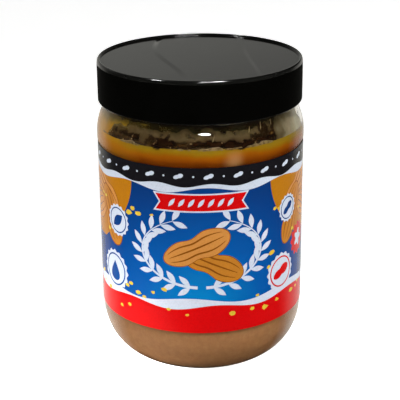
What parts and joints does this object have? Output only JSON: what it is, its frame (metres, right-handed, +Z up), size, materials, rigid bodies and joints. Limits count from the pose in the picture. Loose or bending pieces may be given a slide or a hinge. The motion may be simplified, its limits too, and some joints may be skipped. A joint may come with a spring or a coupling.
{
  "type": "peanut butter jar",
  "caption": "Clear round jar with a deep rounded heel and a black screw lid, filled with peanut butter under a layer of oil, with a printed wrap label.",
  "frame": {"origin": "centre of the base, on the surface that the jar stands on", "axes": "+Z up along the jar's axis, -Y towards the front of the label"},
  "size_m": [0.0838, 0.0838, 0.125],
  "materials": {
    "clear_pet": "clear, glossy, blow-moulded",
    "black_polypropylene": "smooth, semi-gloss, moulded",
    "printed_film": "printed, glossy",
    "peanut_butter": "oily, slightly grainy",
    "peanut_oil": "clear amber liquid"
  },
  "bodies": {
    "root": {"jar": "clear_pet", "lid": "black_polypropylene", "label": "printed_film", "peanut_butter": "peanut_butter", "oil": "peanut_oil"}
  },
  "joints": []
}
